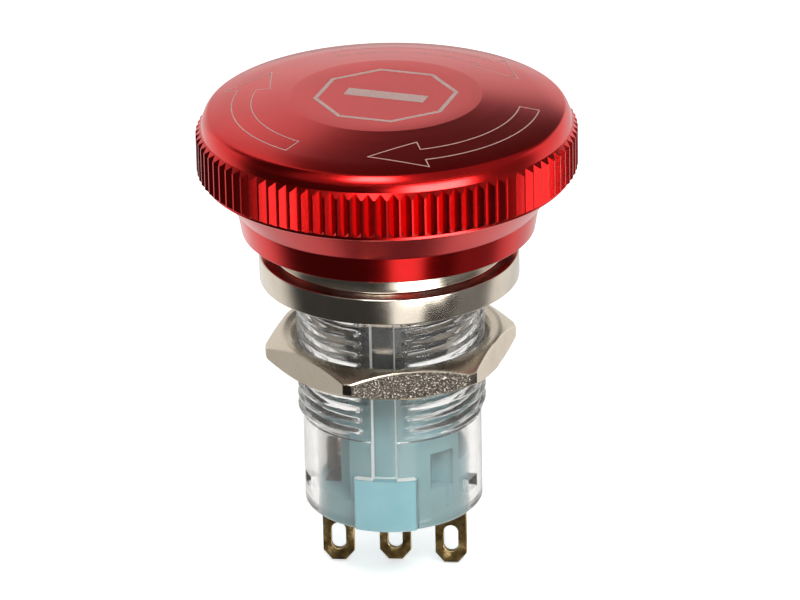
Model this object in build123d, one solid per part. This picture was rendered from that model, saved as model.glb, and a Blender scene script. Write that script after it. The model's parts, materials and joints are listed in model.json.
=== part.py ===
"""Emergency stop push-button, 16 mm panel series: push to stop, twist to release.

Frame: millimetres, +Z out of the panel towards the operator, origin on the button's
axis in the plane of the panel's front face (the underside of the bezel flange).
-Y is the keyed front of the barrel: the keyway and the latch tab of the contact base.
Each piece is written to parts/NAME.step.
"""
from build123d import *
from math import cos, radians, sin, tan
import os

# ---------------------------------------------------------------- driving dimensions
THREAD_R = 8.0            # M16 x 1 barrel thread, crest radius
THREAD_ROOT_R = 7.4
THREAD_PITCH = 1.0
THREAD_TOP_Z = -1.2       # plain spigot above it fits the 16 mm panel hole
THREAD_END_Z = -12.4
BARREL_BASE_R = 7.6       # plain lower wall of the clear barrel
BARREL_BORE_R = 6.5
BARREL_END_Z = -20.65
SPIGOT_R = 7.9            # plain ring under the flange
KEYWAY_W = 1.9            # moulded key groove down the front of the barrel
KEYWAY_R = 7.0
THREAD_GAP_W = 3.7        # thread is interrupted beside the keyway
WINDOW_W = 1.6            # snap windows at both sides of the barrel
WINDOW_LOW_Z = -18.65
WINDOW_HIGH_Z = -17.55
WINDOW_DEG = 68.5         # from the front

FLANGE_R = 11.0           # bezel seen on the panel
FLANGE_T = 2.3
NECK_R = 9.7              # raised collar of the bezel, inside the head's skirt
NECK_TOP_Z = 5.0
SLEEVE_R = 6.45           # pressed into the barrel bore, also the outside of the inner mouldings
SLEEVE_END_Z = -2.2
POCKET_FLOOR_Z = 1.2      # seat of the return spring
SEAL_IN_R = 8.5           # groove for the panel seal
SEAL_OUT_R = 9.9
SEAL_GROOVE_H = 0.8

RUNNING_GAP = 0.05        # between a moving piece and its guide
OVERCUT = 1.0             # how far a cutter reaches past the face it opens

HEAD_R = 16.0             # over the knurl
HEAD_FLAT_R = 8.05        # flat centre of the head
HEAD_TOP_Z = 16.15
HEAD_CONE_R = 14.93       # outer edge of the shallow conical top
HEAD_CONE_Z = 15.1
SHOULDER_R = 15.55        # rounded edge between the top and the knurled rim
SHOULDER_Z = 13.72
KNURL_TOP_Z = 13.4
KNURL_END_Z = 10.1
FLUTE_COUNT = 96
FLUTE_DEPTH = 0.42
FLUTE_WIDTH = 0.9         # at the rim, a little under the pitch
SKIRT_TOP_R = 12.75
SKIRT_TOP_Z = 6.65
SKIRT_R = 12.35
SKIRT_END_Z = 4.4
SKIRT_BORE_R = 11.3       # passes over the bezel flange when the button is down
HEAD_ROOF_Z = 13.0        # underside of the head's top wall
BOSS_R = 5.2
BOSS_END_Z = 8.4

SPINDLE_R = 3.0
STUD_R = 2.48             # spindle's end in the head
STUD_TOP_Z = 13.8
PILOT_R = 2.0             # spindle's end in the pusher
SEAL_RING_R = 2.6
SEAL_WIRE_R = 0.42
SEAL_RING_Z = 0.3
CLIP_GROOVE_R = 2.3
CLIP_T = 0.4
CLIP_Z = -2.7
CROSS_PIN_R = 0.49
CROSS_PIN_Z = -4.0

ROCK_DEG = 8.0            # rocking of the contact blade

NUT_AF = 19.0
NUT_CORNER_R = 10.75      # corners turned down
NUT_T = 2.6
NUT_TOP_Z = -4.95
NUT_SINK = 0.7            # countersink at both ends of the bore
NUT_YAW_DEG = 15.5
NUT_BORE_R = THREAD_R + RUNNING_GAP

CAM_END_Z = -11.0         # joint between the cam sleeve and the contact base
CAM_BORE_R = 4.9
PANEL_START_DEG = 243     # front panel of the inner mouldings, counted from +X
PANEL_END_DEG = 319
POST_START_DEG = 60       # back post
POST_END_DEG = 120
KEY_W = 1.2               # anti-turn key of the pusher, in the latch ring's gap
KEY_R = 5.2
FLANGE_TOP_Z = -9.7       # pusher's lower flange
FLANGE_END_Z = -10.5
FLANGE_GUIDE_R = 4.6

TAB_W = 5.2               # latch tab of the contact base, in the barrel's notch
TAB_TOP_Z = -16.0
TAB_GAP = 0.06            # around the tab and the terminals
FLOOR_TOP_Z = -19.3
CAVITY_TOP_Z = -14.0

PIN_SPACING = 4.85        # three solder terminals in a row
PIN_MID_OFFSET_Y = 0.36
PIN_W = 2.7
PIN_T = 0.5
PIN_TIP_Z = -26.9
EYE_W = 1.25              # solder eye
EYE_LOW_Z = -25.9
EYE_HIGH_Z = -23.4

FOOT_TOP_Z = -17.0        # bent feet that carry the fixed contacts
RIVET_R = 0.75
RIVET_X = 4.2
BLADE_T = 0.3
BLADE_LOW_Z = -16.2
BLADE_END_X = 4.85

PARTS_DIR = "parts"


# ---------------------------------------------------------------- helpers
def turned(points):
    """Solid of revolution about Z from (radius, z) corners."""
    outline = Polyline(*[(r, 0, z) for r, z in points], close=True)
    return revolve(make_face(outline), Axis.Z)


def ring(r_out, r_in, z_low, z_high):
    """Plain annulus."""
    return turned([(r_in, z_low), (r_out, z_low), (r_out, z_high), (r_in, z_high)])


def disc(r, z_low, z_high):
    """Plain cylinder on the axis."""
    return turned([(0, z_low), (r, z_low), (r, z_high), (0, z_high)])


def both_sides(half):
    """Limits of a symmetrical width."""
    return (-half, half)


def block(x, y, z):
    """Box from its limits along each axis."""
    size = [high - low for low, high in (x, y, z)]
    centre = [(high + low) / 2 for low, high in (x, y, z)]
    return Pos(*centre) * Box(*size)


def sector(r, start_deg, end_deg, z_low, z_high):
    """Pie slice that reaches past radius r, for cutting windows."""
    step = (end_deg - start_deg) / 4
    arc = [start_deg + step * i for i in range(5)]
    points = [(0, 0)] + [(r * cos(radians(a)), r * sin(radians(a))) for a in arc]
    face = make_face(Polyline(*points, close=True))
    return Pos(0, 0, z_low) * extrude(face, z_high - z_low)


def coil(mean_r, wire_r, z_low, z_high, turns):
    """Helical spring of round wire whose outside runs from z_low to z_high."""
    height = z_high - z_low - 2 * wire_r
    path = Helix(pitch=height / turns, height=height, radius=mean_r)
    section = Plane(path @ 0, z_dir=path % 0) * Circle(wire_r)
    return Pos(0, 0, z_low + wire_r) * sweep(section, path)


# ---------------------------------------------------------------- the fixed housing
def make_bezel():
    edge = 0.2
    pocket_in, pocket_out = BOSS_R + 0.4, 7.7
    bore = SPINDLE_R + RUNNING_GAP
    body = turned([
        (bore, SLEEVE_END_Z), (SLEEVE_R, SLEEVE_END_Z), (SLEEVE_R, 0), (FLANGE_R - edge, 0),
        (FLANGE_R, edge), (FLANGE_R, FLANGE_T - edge), (FLANGE_R - edge, FLANGE_T),
        (NECK_R, FLANGE_T), (NECK_R, NECK_TOP_Z - edge), (NECK_R - edge, NECK_TOP_Z),
        (bore, NECK_TOP_Z),
    ])
    body -= ring(pocket_out, pocket_in, POCKET_FLOOR_Z, NECK_TOP_Z + OVERCUT)
    return body - ring(SEAL_OUT_R, SEAL_IN_R, -OVERCUT, SEAL_GROOVE_H)


def make_panel_seal():
    """Rubber ring in the flange's groove, its lip proud of the flange."""
    gap, slope, proud = 0.05, 0.35, 0.15
    inner, outer, top = SEAL_IN_R + gap, SEAL_OUT_R - gap, SEAL_GROOVE_H - gap
    return turned([
        (inner, top), (inner, 0), (inner + slope, -proud), (outer - slope, -proud),
        (outer, 0), (outer, top)])


def thread_outline():
    """Crest and root corners of the barrel thread, as rings one pitch apart."""
    crest, root = THREAD_PITCH * 0.16, THREAD_PITCH * 0.24
    flank = (THREAD_PITCH - crest - root) / 2
    points = []
    z = THREAD_TOP_Z - THREAD_PITCH / 2
    while z - THREAD_PITCH / 2 > THREAD_END_Z:
        points.append((THREAD_ROOT_R, z + crest / 2 + flank))
        points.append((THREAD_R, z + crest / 2))
        points.append((THREAD_R, z - crest / 2))
        points.append((THREAD_ROOT_R, z - crest / 2 - flank))
        z -= THREAD_PITCH
    return points


def make_barrel():
    """Clear barrel: thread interrupted beside a key groove, latch notch and two snap windows."""
    lip, run_out, gap_run_out = 0.25, 0.15, 0.4
    body = turned(
        [(BARREL_BORE_R, 0), (SPIGOT_R, 0), (SPIGOT_R, THREAD_TOP_Z)]
        + thread_outline()
        + [(THREAD_ROOT_R, THREAD_END_Z), (BARREL_BASE_R, THREAD_END_Z - run_out),
           (BARREL_BASE_R, BARREL_END_Z + lip), (BARREL_BASE_R - lip, BARREL_END_Z),
           (BARREL_BORE_R, BARREL_END_Z)]
    )
    front = (-THREAD_R - OVERCUT, 0)
    gap = block(both_sides(THREAD_GAP_W / 2), front, (THREAD_END_Z - gap_run_out, THREAD_TOP_Z))
    body -= gap - disc(THREAD_ROOT_R, THREAD_END_Z - OVERCUT, 0)
    key = block(both_sides(KEYWAY_W / 2), front, (TAB_TOP_Z, OVERCUT))
    body -= key - disc(KEYWAY_R, TAB_TOP_Z - OVERCUT, 2 * OVERCUT)
    body -= block(both_sides(TAB_W / 2 + TAB_GAP), front, (BARREL_END_Z - OVERCUT, TAB_TOP_Z + TAB_GAP))
    for side in (-1, 1):
        hole = block(both_sides(WINDOW_W / 2), front, (WINDOW_LOW_Z, WINDOW_HIGH_Z))
        body -= Rot(0, 0, side * WINDOW_DEG) * hole
    return body


def make_cam_sleeve():
    """Open cage: a front panel and a back post between two end rings."""
    end_gap, low_ring_h, high_ring_h, key_relief = 0.1, 0.8, 0.9, 0.4
    top = SLEEVE_END_Z - end_gap
    body = ring(SLEEVE_R, CAM_BORE_R, CAM_END_Z, top)
    for start, end in ((POST_END_DEG, PANEL_START_DEG), (PANEL_END_DEG, POST_START_DEG + 360)):
        body -= sector(SLEEVE_R * 1.5, start, end, CAM_END_Z + low_ring_h, top - high_ring_h)
    body -= make_key_slot(CAM_END_Z, FLANGE_TOP_Z + key_relief)
    snap_x, snap_w, snap_depth = 1.75, 0.9, 0.55
    snap_z = (-9.3, -8.5)
    for side in (-1, 1):
        snap = block(both_sides(snap_w / 2), (-SLEEVE_R - OVERCUT, snap_depth - SLEEVE_R), snap_z)
        body -= Pos(side * snap_x, 0, 0) * snap
    return body


def make_key_slot(z_low, z_high):
    """Groove at the back that the pusher's key slides in."""
    side_gap, end_gap = 0.1, 0.15
    return block(both_sides(KEY_W / 2 + side_gap), (0, KEY_R + end_gap), (z_low, z_high))


def make_latch_ring():
    """Round-wire ring that the pusher's flange snaps through."""
    mean_r, wire_r, z, gap_deg = 5.05, 0.35, -11.4, 40
    start = 90 + gap_deg / 2
    path = Pos(0, 0, z) * CenterArc((0, 0), mean_r, start, 360 - gap_deg)
    section = Plane(path @ 0, z_dir=path % 0) * Circle(wire_r)
    return sweep(section, path)


def make_contact_base():
    """Moulded base: blade chamber, ring seat, openings in its outer wall and the latch tab."""
    seat_r, seat_z, beyond = 5.6, -11.8, SLEEVE_R + OVERCUT
    body = disc(SLEEVE_R, BARREL_END_Z, CAM_END_Z)
    body -= disc(CAM_BORE_R, CAVITY_TOP_Z, CAM_END_Z)
    body -= disc(seat_r, seat_z, CAM_END_Z)
    body -= make_key_slot(CAVITY_TOP_Z, CAM_END_Z)
    chamber_x, chamber_y = 5.6, (-2.0, 2.3)
    body -= block(both_sides(chamber_x), chamber_y, (FLOOR_TOP_Z, CAVITY_TOP_Z + OVERCUT))
    openings = (
        ((-beyond, -4.1), both_sides(beyond), (-18.4, seat_z)),    # left side
        ((-beyond, -2.9), (-beyond, -2.6), (-18.4, seat_z)),       # left of the front panel
        ((5.5, beyond), both_sides(beyond), (-15.5, seat_z)),      # right side
        ((3.5, 5.1), (-beyond, -3.6), (-17.5, -14.1)),             # recess at the front right
        ((4.6, 5.1), (-beyond, -4.2), (-19.4, -17.5)),             # slot under that recess
        (both_sides(2.4), (5.4, beyond), (-19.0, -13.0)),          # back
    )
    for x, y, z in openings:
        body -= block(x, y, z)
    half_w, half_t = PIN_W / 2 + TAB_GAP, PIN_T / 2 + TAB_GAP
    for x, y in pin_places():
        slot = block(both_sides(half_w), both_sides(half_t), (BARREL_END_Z, FLOOR_TOP_Z))
        body -= Pos(x, y, 0) * slot
    root = 0.3
    tab = ring(BARREL_BASE_R, SLEEVE_R - root, BARREL_END_Z, TAB_TOP_Z)
    tab &= block(both_sides(TAB_W / 2), (-BARREL_BASE_R - OVERCUT, 0), (BARREL_END_Z, TAB_TOP_Z))
    return body + tab


# ---------------------------------------------------------------- terminals and contacts
def pin_places():
    """Left (normally closed), middle (common) and right (normally open) terminals."""
    return [(-PIN_SPACING, 0.0), (0.0, PIN_MID_OFFSET_Y), (PIN_SPACING, 0.0)]


def make_terminal(place, top_z):
    """Flat solder terminal with a chamfered tip and an oblong eye."""
    x, y = place
    half, slope_w, slope_h = PIN_W / 2, 0.75, 0.9
    outline = Polyline(
        (-half, top_z), (-half, PIN_TIP_Z + slope_h), (-half + slope_w, PIN_TIP_Z),
        (half - slope_w, PIN_TIP_Z), (half, PIN_TIP_Z + slope_h), (half, top_z), close=True)
    eye_h = EYE_HIGH_Z - EYE_LOW_Z
    eye = Pos(0, EYE_LOW_Z + eye_h / 2) * SlotOverall(eye_h, EYE_W, rotation=90)
    face = make_face(outline) - eye
    blade = extrude(face, PIN_T / 2, both=True)
    return Pos(x, y, 0) * Rot(90, 0, 0) * blade


def make_side_terminal(side):
    """Outer terminal, narrowed inside the base and bent into a foot for its fixed contact."""
    place = pin_places()[0 if side < 0 else 2]
    shoulder, foot_in, ear_in, foot_t = 5.4, 3.4, 4.5, 0.4
    foot_y, ear_top_z = (-1.8, 1.2), -14.4
    low = FOOT_TOP_Z - foot_t
    blade = make_terminal(place, FOOT_TOP_Z)
    blade -= block(outwards(side, shoulder, shoulder + PIN_W), both_sides(PIN_T), (FLOOR_TOP_Z, 0))
    foot = block(outwards(side, foot_in, shoulder), foot_y, (low, FOOT_TOP_Z))
    ear = block(outwards(side, ear_in, shoulder), (foot_y[0], foot_y[0] + foot_t), (low, ear_top_z))
    return blade + foot + ear


def outwards(side, near, far):
    """Limits along X from near to far, on the side given by its sign."""
    return sorted((side * near, side * far))


def make_terminal_nc():
    return make_side_terminal(-1)


def make_terminal_no():
    return make_side_terminal(1)


def make_terminal_common():
    """Middle terminal, notched on top as the blade's knife-edge pivot."""
    x, y = pin_places()[1]
    play, ledge, edge_half = 0.05, 0.5, 0.45
    top = BLADE_LOW_Z - play
    post = make_terminal((x, y), top)
    for side in (-1, 1):
        cut = block(outwards(side, edge_half, PIN_W), both_sides(PIN_T), (top - ledge, top))
        post -= Pos(0, y, 0) * cut
    return post


def make_fixed_contacts():
    """Rivets on the feet of the outer terminals."""
    height = 0.4
    rivet = disc(RIVET_R, FOOT_TOP_Z, FOOT_TOP_Z + height)
    return Compound(children=[Pos(side * RIVET_X, 0, 0) * rivet for side in (-1, 1)])


def make_contact_blade():
    """Shallow V leaf: its left arm lies level at rest, its right arm after rocking."""
    half_w, offset_y = 1.0, 0.15
    rise = BLADE_END_X * tan(radians(ROCK_DEG))
    low, high = BLADE_LOW_Z, BLADE_LOW_Z + BLADE_T
    outline = Polyline(
        (-BLADE_END_X, low), (0, low), (BLADE_END_X, low + rise),
        (BLADE_END_X, high + rise), (0, high), (-BLADE_END_X, high), close=True)
    leaf = extrude(make_face(outline), half_w, both=True)
    return Pos(0, offset_y, 0) * Rot(90, 0, 0) * leaf


def make_moving_contacts():
    """Silver buttons under the two arms of the blade, square to each arm."""
    height, r = 0.3, RIVET_R - 0.1
    button = disc(r, -height, 0)
    left = Pos(-RIVET_X, 0, BLADE_LOW_Z) * button
    right = Pos(0, 0, BLADE_LOW_Z) * Rot(0, -ROCK_DEG, 0) * Pos(RIVET_X, 0, 0) * button
    return Compound(children=[left, right])


# ---------------------------------------------------------------- pusher and springs
def make_pusher():
    """Sliding carrier under the spindle: socket tube, guided flange and a key at the back."""
    tube_r, tube_top_z, socket_end_z, key_root_r = 3.1, -5.3, -7.8, 3.5
    tube = disc(tube_r, FLANGE_TOP_Z, tube_top_z)
    tube -= disc(PILOT_R + RUNNING_GAP, socket_end_z, tube_top_z)
    flange = disc(FLANGE_GUIDE_R, FLANGE_END_Z, FLANGE_TOP_Z)
    key = block(both_sides(KEY_W / 2), (key_root_r, KEY_R), (FLANGE_END_Z, FLANGE_TOP_Z))
    return tube + flange + key


def make_return_spring():
    """Head spring between the bezel's pocket and the head's roof."""
    mean_r, wire_r, turns, gap = 6.65, 0.4, 7, 0.05
    return coil(mean_r, wire_r, POCKET_FLOOR_Z + gap, HEAD_ROOF_Z - gap, turns)


def make_torsion_spring():
    """Twist spring around the pusher's tube."""
    mean_r, wire_r, z_low, z_high, turns = 3.85, 0.22, -9.6, -5.4, 6
    return coil(mean_r, wire_r, z_low, z_high, turns)


def make_contact_spring():
    """Small spring by which the pusher rocks the blade."""
    x, y, mean_r, wire_r, z_low, turns, gap = 2.4, 0.15, 0.9, 0.13, -15.5, 8, 0.02
    return Pos(x, y, 0) * coil(mean_r, wire_r, z_low, FLANGE_END_Z - gap, turns)


# ---------------------------------------------------------------- head assembly
def make_head_cap():
    """Turned mushroom head: shallow cone, rounded shoulder, knurled rim, skirt and centre boss."""
    core_r = HEAD_R - FLUTE_DEPTH - 0.04
    round_r, round_z = SHOULDER_R - 0.13, (HEAD_CONE_Z + SHOULDER_Z) / 2
    lip, lip_r, lip_z, edge = 0.2, 15.3, 9.6, 0.1
    collar_r, step_r, step_z = 14.8, 9.2, 8.9
    stud_r, stud_z = STUD_R + 0.02, STUD_TOP_Z + 0.2
    body = turned([
        (0, HEAD_TOP_Z), (HEAD_FLAT_R, HEAD_TOP_Z), (HEAD_CONE_R, HEAD_CONE_Z), (round_r, round_z),
        (SHOULDER_R, SHOULDER_Z), (core_r, SHOULDER_Z - edge), (core_r, KNURL_END_Z - lip),
        (lip_r, lip_z), (collar_r, lip_z - edge), (SKIRT_TOP_R, SKIRT_TOP_Z),
        (SKIRT_R, SKIRT_END_Z + edge), (SKIRT_R - edge, SKIRT_END_Z), (SKIRT_BORE_R, SKIRT_END_Z),
        (SKIRT_BORE_R, step_z), (step_r, step_z), (step_r, HEAD_ROOF_Z), (BOSS_R, HEAD_ROOF_Z),
        (BOSS_R, BOSS_END_Z), (stud_r, BOSS_END_Z), (stud_r, stud_z), (0, stud_z),
    ])
    return body + make_knurl(core_r - FLUTE_DEPTH)


def make_knurl(inner_r):
    """Rim band with V flutes down its side, one per pitch."""
    pitch = radians(360 / FLUTE_COUNT)
    half = FLUTE_WIDTH / 2 / HEAD_R
    points = []
    for i in range(FLUTE_COUNT):
        for r, turn in ((HEAD_R - FLUTE_DEPTH, 0), (HEAD_R, half), (HEAD_R, pitch - half)):
            angle = i * pitch + turn
            points.append((r * cos(angle), r * sin(angle)))
    rim = make_face(Polyline(*points, close=True)) - Circle(inner_r)
    return Pos(0, 0, KNURL_END_Z) * extrude(rim, KNURL_TOP_Z - KNURL_END_Z)


def make_spindle():
    """Turned shaft: head stud, seal groove, clip groove, cross hole and pilot."""
    shaft_end_z, pilot_end_z = -5.0, -7.6
    seal_in, seal_half = SEAL_RING_R - SEAL_WIRE_R - 0.03, 0.5
    clip_low, clip_high = CLIP_Z - CLIP_T / 2 - RUNNING_GAP, CLIP_Z + CLIP_T / 2 + RUNNING_GAP
    body = turned([
        (0, STUD_TOP_Z), (STUD_R, STUD_TOP_Z), (STUD_R, BOSS_END_Z), (SPINDLE_R, BOSS_END_Z),
        (SPINDLE_R, SEAL_RING_Z + seal_half), (seal_in, SEAL_RING_Z + seal_half),
        (seal_in, SEAL_RING_Z - seal_half), (SPINDLE_R, SEAL_RING_Z - seal_half),
        (SPINDLE_R, clip_high), (CLIP_GROOVE_R, clip_high), (CLIP_GROOVE_R, clip_low),
        (SPINDLE_R, clip_low), (SPINDLE_R, shaft_end_z), (PILOT_R, shaft_end_z),
        (PILOT_R, pilot_end_z), (0, pilot_end_z),
    ])
    clearance = 0.01
    return body - make_cross_rod(CROSS_PIN_R + clearance, SPINDLE_R + OVERCUT)


def make_cross_rod(r, half_length):
    return Pos(0, 0, CROSS_PIN_Z) * Rot(0, 90, 0) * Cylinder(r, 2 * half_length)


def make_cross_pin():
    """Pin through the spindle, turning inside the cam sleeve."""
    end_gap = 0.1
    return make_cross_rod(CROSS_PIN_R, CAM_BORE_R - end_gap)


def make_spindle_seal():
    return Pos(0, 0, SEAL_RING_Z) * Torus(SEAL_RING_R, SEAL_WIRE_R)


def make_retaining_clip():
    """Open flat clip that stops the spindle against the bezel's sleeve."""
    outer_r, opening_w = 3.9, 1.8
    low, high = CLIP_Z - CLIP_T / 2, CLIP_Z + CLIP_T / 2
    body = ring(outer_r, CLIP_GROOVE_R + RUNNING_GAP, low, high)
    return body - block(both_sides(opening_w / 2), (0, outer_r + OVERCUT), (low, high))


def make_lock_nut():
    """Hexagon nut, its corners turned down and chamfered, its bore countersunk."""
    low, high = NUT_TOP_Z - NUT_T, NUT_TOP_Z
    hexagon = extrude(RegularPolygon(NUT_AF / 2, 6, major_radius=False, rotation=30), NUT_T)
    chamfer_r = NUT_AF / 2 - 0.1
    drop = (NUT_CORNER_R - chamfer_r) * tan(radians(30))
    envelope = turned([
        (0, low), (chamfer_r, low), (NUT_CORNER_R, low + drop), (NUT_CORNER_R, high - drop),
        (chamfer_r, high), (0, high)])
    sink_r = NUT_BORE_R + NUT_SINK
    bore = turned([
        (0, low), (sink_r, low), (NUT_BORE_R, low + NUT_SINK), (NUT_BORE_R, high - NUT_SINK),
        (sink_r, high), (0, high)])
    body = (Pos(0, 0, low) * hexagon) & envelope
    return Rot(0, 0, NUT_YAW_DEG) * (body - bore)


PIECES = {
    "bezel": make_bezel,
    "panel_seal": make_panel_seal,
    "barrel": make_barrel,
    "cam_sleeve": make_cam_sleeve,
    "latch_ring": make_latch_ring,
    "contact_base": make_contact_base,
    "terminal_nc": make_terminal_nc,
    "terminal_common": make_terminal_common,
    "terminal_no": make_terminal_no,
    "fixed_contacts": make_fixed_contacts,
    "contact_blade": make_contact_blade,
    "moving_contacts": make_moving_contacts,
    "pusher": make_pusher,
    "return_spring": make_return_spring,
    "torsion_spring": make_torsion_spring,
    "contact_spring": make_contact_spring,
    "head_cap": make_head_cap,
    "spindle": make_spindle,
    "spindle_seal": make_spindle_seal,
    "retaining_clip": make_retaining_clip,
    "cross_pin": make_cross_pin,
    "lock_nut": make_lock_nut,
}

os.makedirs(PARTS_DIR, exist_ok=True)
for name, make in PIECES.items():
    export_step(make(), os.path.join(PARTS_DIR, name + ".step"))
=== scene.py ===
"""Looks of the emergency stop push button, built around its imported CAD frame."""
import json
import math

import bpy
from mathutils import Matrix, Vector


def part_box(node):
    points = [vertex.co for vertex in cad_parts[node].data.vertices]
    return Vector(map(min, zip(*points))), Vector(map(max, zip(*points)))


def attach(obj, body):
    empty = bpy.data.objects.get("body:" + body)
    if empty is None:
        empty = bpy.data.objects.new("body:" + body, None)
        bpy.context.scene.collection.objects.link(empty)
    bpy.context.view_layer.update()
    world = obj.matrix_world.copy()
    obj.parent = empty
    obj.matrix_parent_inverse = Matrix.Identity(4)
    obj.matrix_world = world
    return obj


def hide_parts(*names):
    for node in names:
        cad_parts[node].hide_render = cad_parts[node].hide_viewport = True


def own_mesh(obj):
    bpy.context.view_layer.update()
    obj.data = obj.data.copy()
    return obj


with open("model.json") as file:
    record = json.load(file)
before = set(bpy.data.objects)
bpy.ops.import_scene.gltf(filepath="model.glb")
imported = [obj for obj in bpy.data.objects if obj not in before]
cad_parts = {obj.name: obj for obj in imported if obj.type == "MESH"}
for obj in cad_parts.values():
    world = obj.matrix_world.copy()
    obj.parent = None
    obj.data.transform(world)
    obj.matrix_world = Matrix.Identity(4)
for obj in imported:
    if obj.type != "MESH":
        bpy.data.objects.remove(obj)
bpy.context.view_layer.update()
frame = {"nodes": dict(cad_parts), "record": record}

MM = 0.001
NODES = frame["nodes"]


def extent(node):
    """Outer radius, lowest and highest point of a turned CAD node, in millimetres."""
    low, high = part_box(node)
    return high.x / MM, low.z / MM, high.z / MM


HEAD_R, SKIRT_END_Z, HEAD_TOP_Z = extent("head_cap")
FLANGE_R, SLEEVE_END_Z, NECK_TOP_Z = extent("bezel")
THREAD_R, BARREL_END_Z, BARREL_TOP_Z = extent("barrel")
_, NUT_LOW_Z, NUT_HIGH_Z = extent("lock_nut")
PIN_TIP_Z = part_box("terminal_no")[0].z / MM

# Turned head, millimetres; the CAD box ends on facets, just short of the true radius
HEAD_R = round(HEAD_R, 1)
CENTRE_R, FLAT_R = 0.4, 8.05
CONE_R, CONE_Z = HEAD_R - 1.07, HEAD_TOP_Z - 1.05
SHOULDER_R, SHOULDER_Z = HEAD_R - 0.45, HEAD_TOP_Z - 2.43
KNURL_TOP_Z, KNURL_END_Z = SHOULDER_Z - 0.45, HEAD_TOP_Z - 6.08
FLUTES, FLUTE_DEPTH = 96, 0.42
SKIRT_BORE_R, SKIRT_R, SKIRT_TOP_R = 11.3, 12.35, 12.75
SKIRT_TOP_Z = SKIRT_END_Z + 2.25
LIP_R = 14.9
HOLLOW_R, HOLLOW_END_Z, ROOF_Z = 9.2, 8.9, 13.0
BOSS_R, BOSS_END_Z = 5.2, 8.4
SPINDLE_R, SPINDLE_TOP_Z = 2.5, 14.0

# Clear barrel, millimetres and degrees
THREAD_ROOT_R, THREAD_PITCH = 7.4, 1.0
THREAD_TOP_Z, THREAD_END_Z = -1.2, -12.4
SPIGOT_R, BASE_R, BORE_R, KEYWAY_R = 7.9, 7.6, 6.5, 7.0
KEYWAY_W, THREAD_GAP_W = 1.9, 3.7
THREAD_RUN_OUT, BARREL_LIP_H, BARREL_LIP_IN = 0.5, 0.3, 0.28
NOTCH_W, NOTCH_TOP_Z = 5.32, -15.94
WINDOW_DEG, WINDOW_W, WINDOW_LOW_Z, WINDOW_HIGH_Z = 68.5, 1.6, -18.65, -17.55
CUT_TOLERANCE = 0.001

# The same cuts as angles from the barrel's front, radians
KEYWAY_HALF, GROOVE_WALL = math.asin(KEYWAY_W / 2 / THREAD_ROOT_R), 0.016
NOTCH_HALF = math.asin(NOTCH_W / 2 / BASE_R)
WINDOW_ANGLE, WINDOW_HALF = math.radians(WINDOW_DEG), WINDOW_W / 2 / BASE_R

# Etched marks on the head, millimetres and degrees
ARROW_R, ARROW_HALF, ARROW_WING = 12.1, 0.82, 2.0
ARROW_TIP_DEG, ARROW_HEAD_DEG, ARROW_SPAN_DEG = 268.5, 21.5, 87.5
ETCH_W, ETCH_T = 0.09, 0.012
SIGN_R, SIGN_YAW_DEG, SIGN_W = 5.9, -13.0, 0.36
SIGN_BAR_L, SIGN_BAR_W = 7.0, 1.5

# Springs, millimetres and turns
RETURN_COIL = {"centre": (0, 0), "mean_r": 6.65, "wire_r": 0.4, "turns": 7, "end_turns": 0.9}
BLADE_COIL = {"centre": (2.4, 0.15), "mean_r": 0.9, "wire_r": 0.13, "turns": 8, "end_turns": 0.9}

# Camera, measured about the origin, in radians, metres and millimetres of lens
CAMERA_AZ, CAMERA_EL, CAMERA_DISTANCE = math.radians(6.0), math.radians(23.3), 0.507
CAMERA_LENS, CAMERA_ROLL = 270.0, math.radians(1.2)
AIM_RIGHT, AIM_DOWN = 0.00083, 0.0023


# ---------------------------------------------------------------- mesh helpers
def new_object(name, vertices, faces, sharp_deg=30.0):
    """Mesh object from millimetre vertices, smooth except across sharp edges."""
    mesh = bpy.data.meshes.new(name)
    mesh.from_pydata([(x * MM, y * MM, z * MM) for x, y, z in vertices], [], faces)
    mesh.validate()
    mesh.shade_smooth()
    mesh.set_sharp_from_angle(angle=math.radians(sharp_deg))
    obj = bpy.data.objects.new(name, mesh)
    bpy.context.scene.collection.objects.link(obj)
    return obj


def loft_closed(columns):
    """Faces and vertices of a ring of closed outlines, one column of (x, y, z) per angle."""
    rows = len(columns[0])
    vertices = [point for column in columns for point in column]
    faces = []
    for i in range(len(columns)):
        here, there = i * rows, (i + 1) % len(columns) * rows
        for j in range(rows):
            k = (j + 1) % rows
            faces.append((here + j, there + j, there + k, here + k))
    return vertices, faces


def spun(angle, outline):
    """A (radius, z) outline turned to an angle."""
    return [(r * math.cos(angle), r * math.sin(angle), z) for r, z in outline]


def rounded(points, radius, steps=4):
    """Closed (radius, z) outline with its corners rounded."""
    out = []
    count = len(points)
    for i, point in enumerate(points):
        here = Vector(point)
        before, after = Vector(points[i - 1]) - here, Vector(points[(i + 1) % count]) - here
        reach = min(radius, before.length * 0.45, after.length * 0.45)
        start, end = here + before.normalized() * reach, here + after.normalized() * reach
        for step in range(steps + 1):
            t = step / steps
            out.append(tuple(start * (1 - t) ** 2 + here * 2 * t * (1 - t) + end * t ** 2))
    return out


def lathe(name, outline, segments=256, **options):
    columns = [spun(2 * math.pi * i / segments, outline) for i in range(segments)]
    return new_object(name, *loft_closed(columns), **options)


def blend_step(low, high, value):
    """0 below low, 1 above high, smooth between."""
    t = min(max((value - low) / (high - low), 0.0), 1.0)
    return t * t * (3 - 2 * t)


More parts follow.
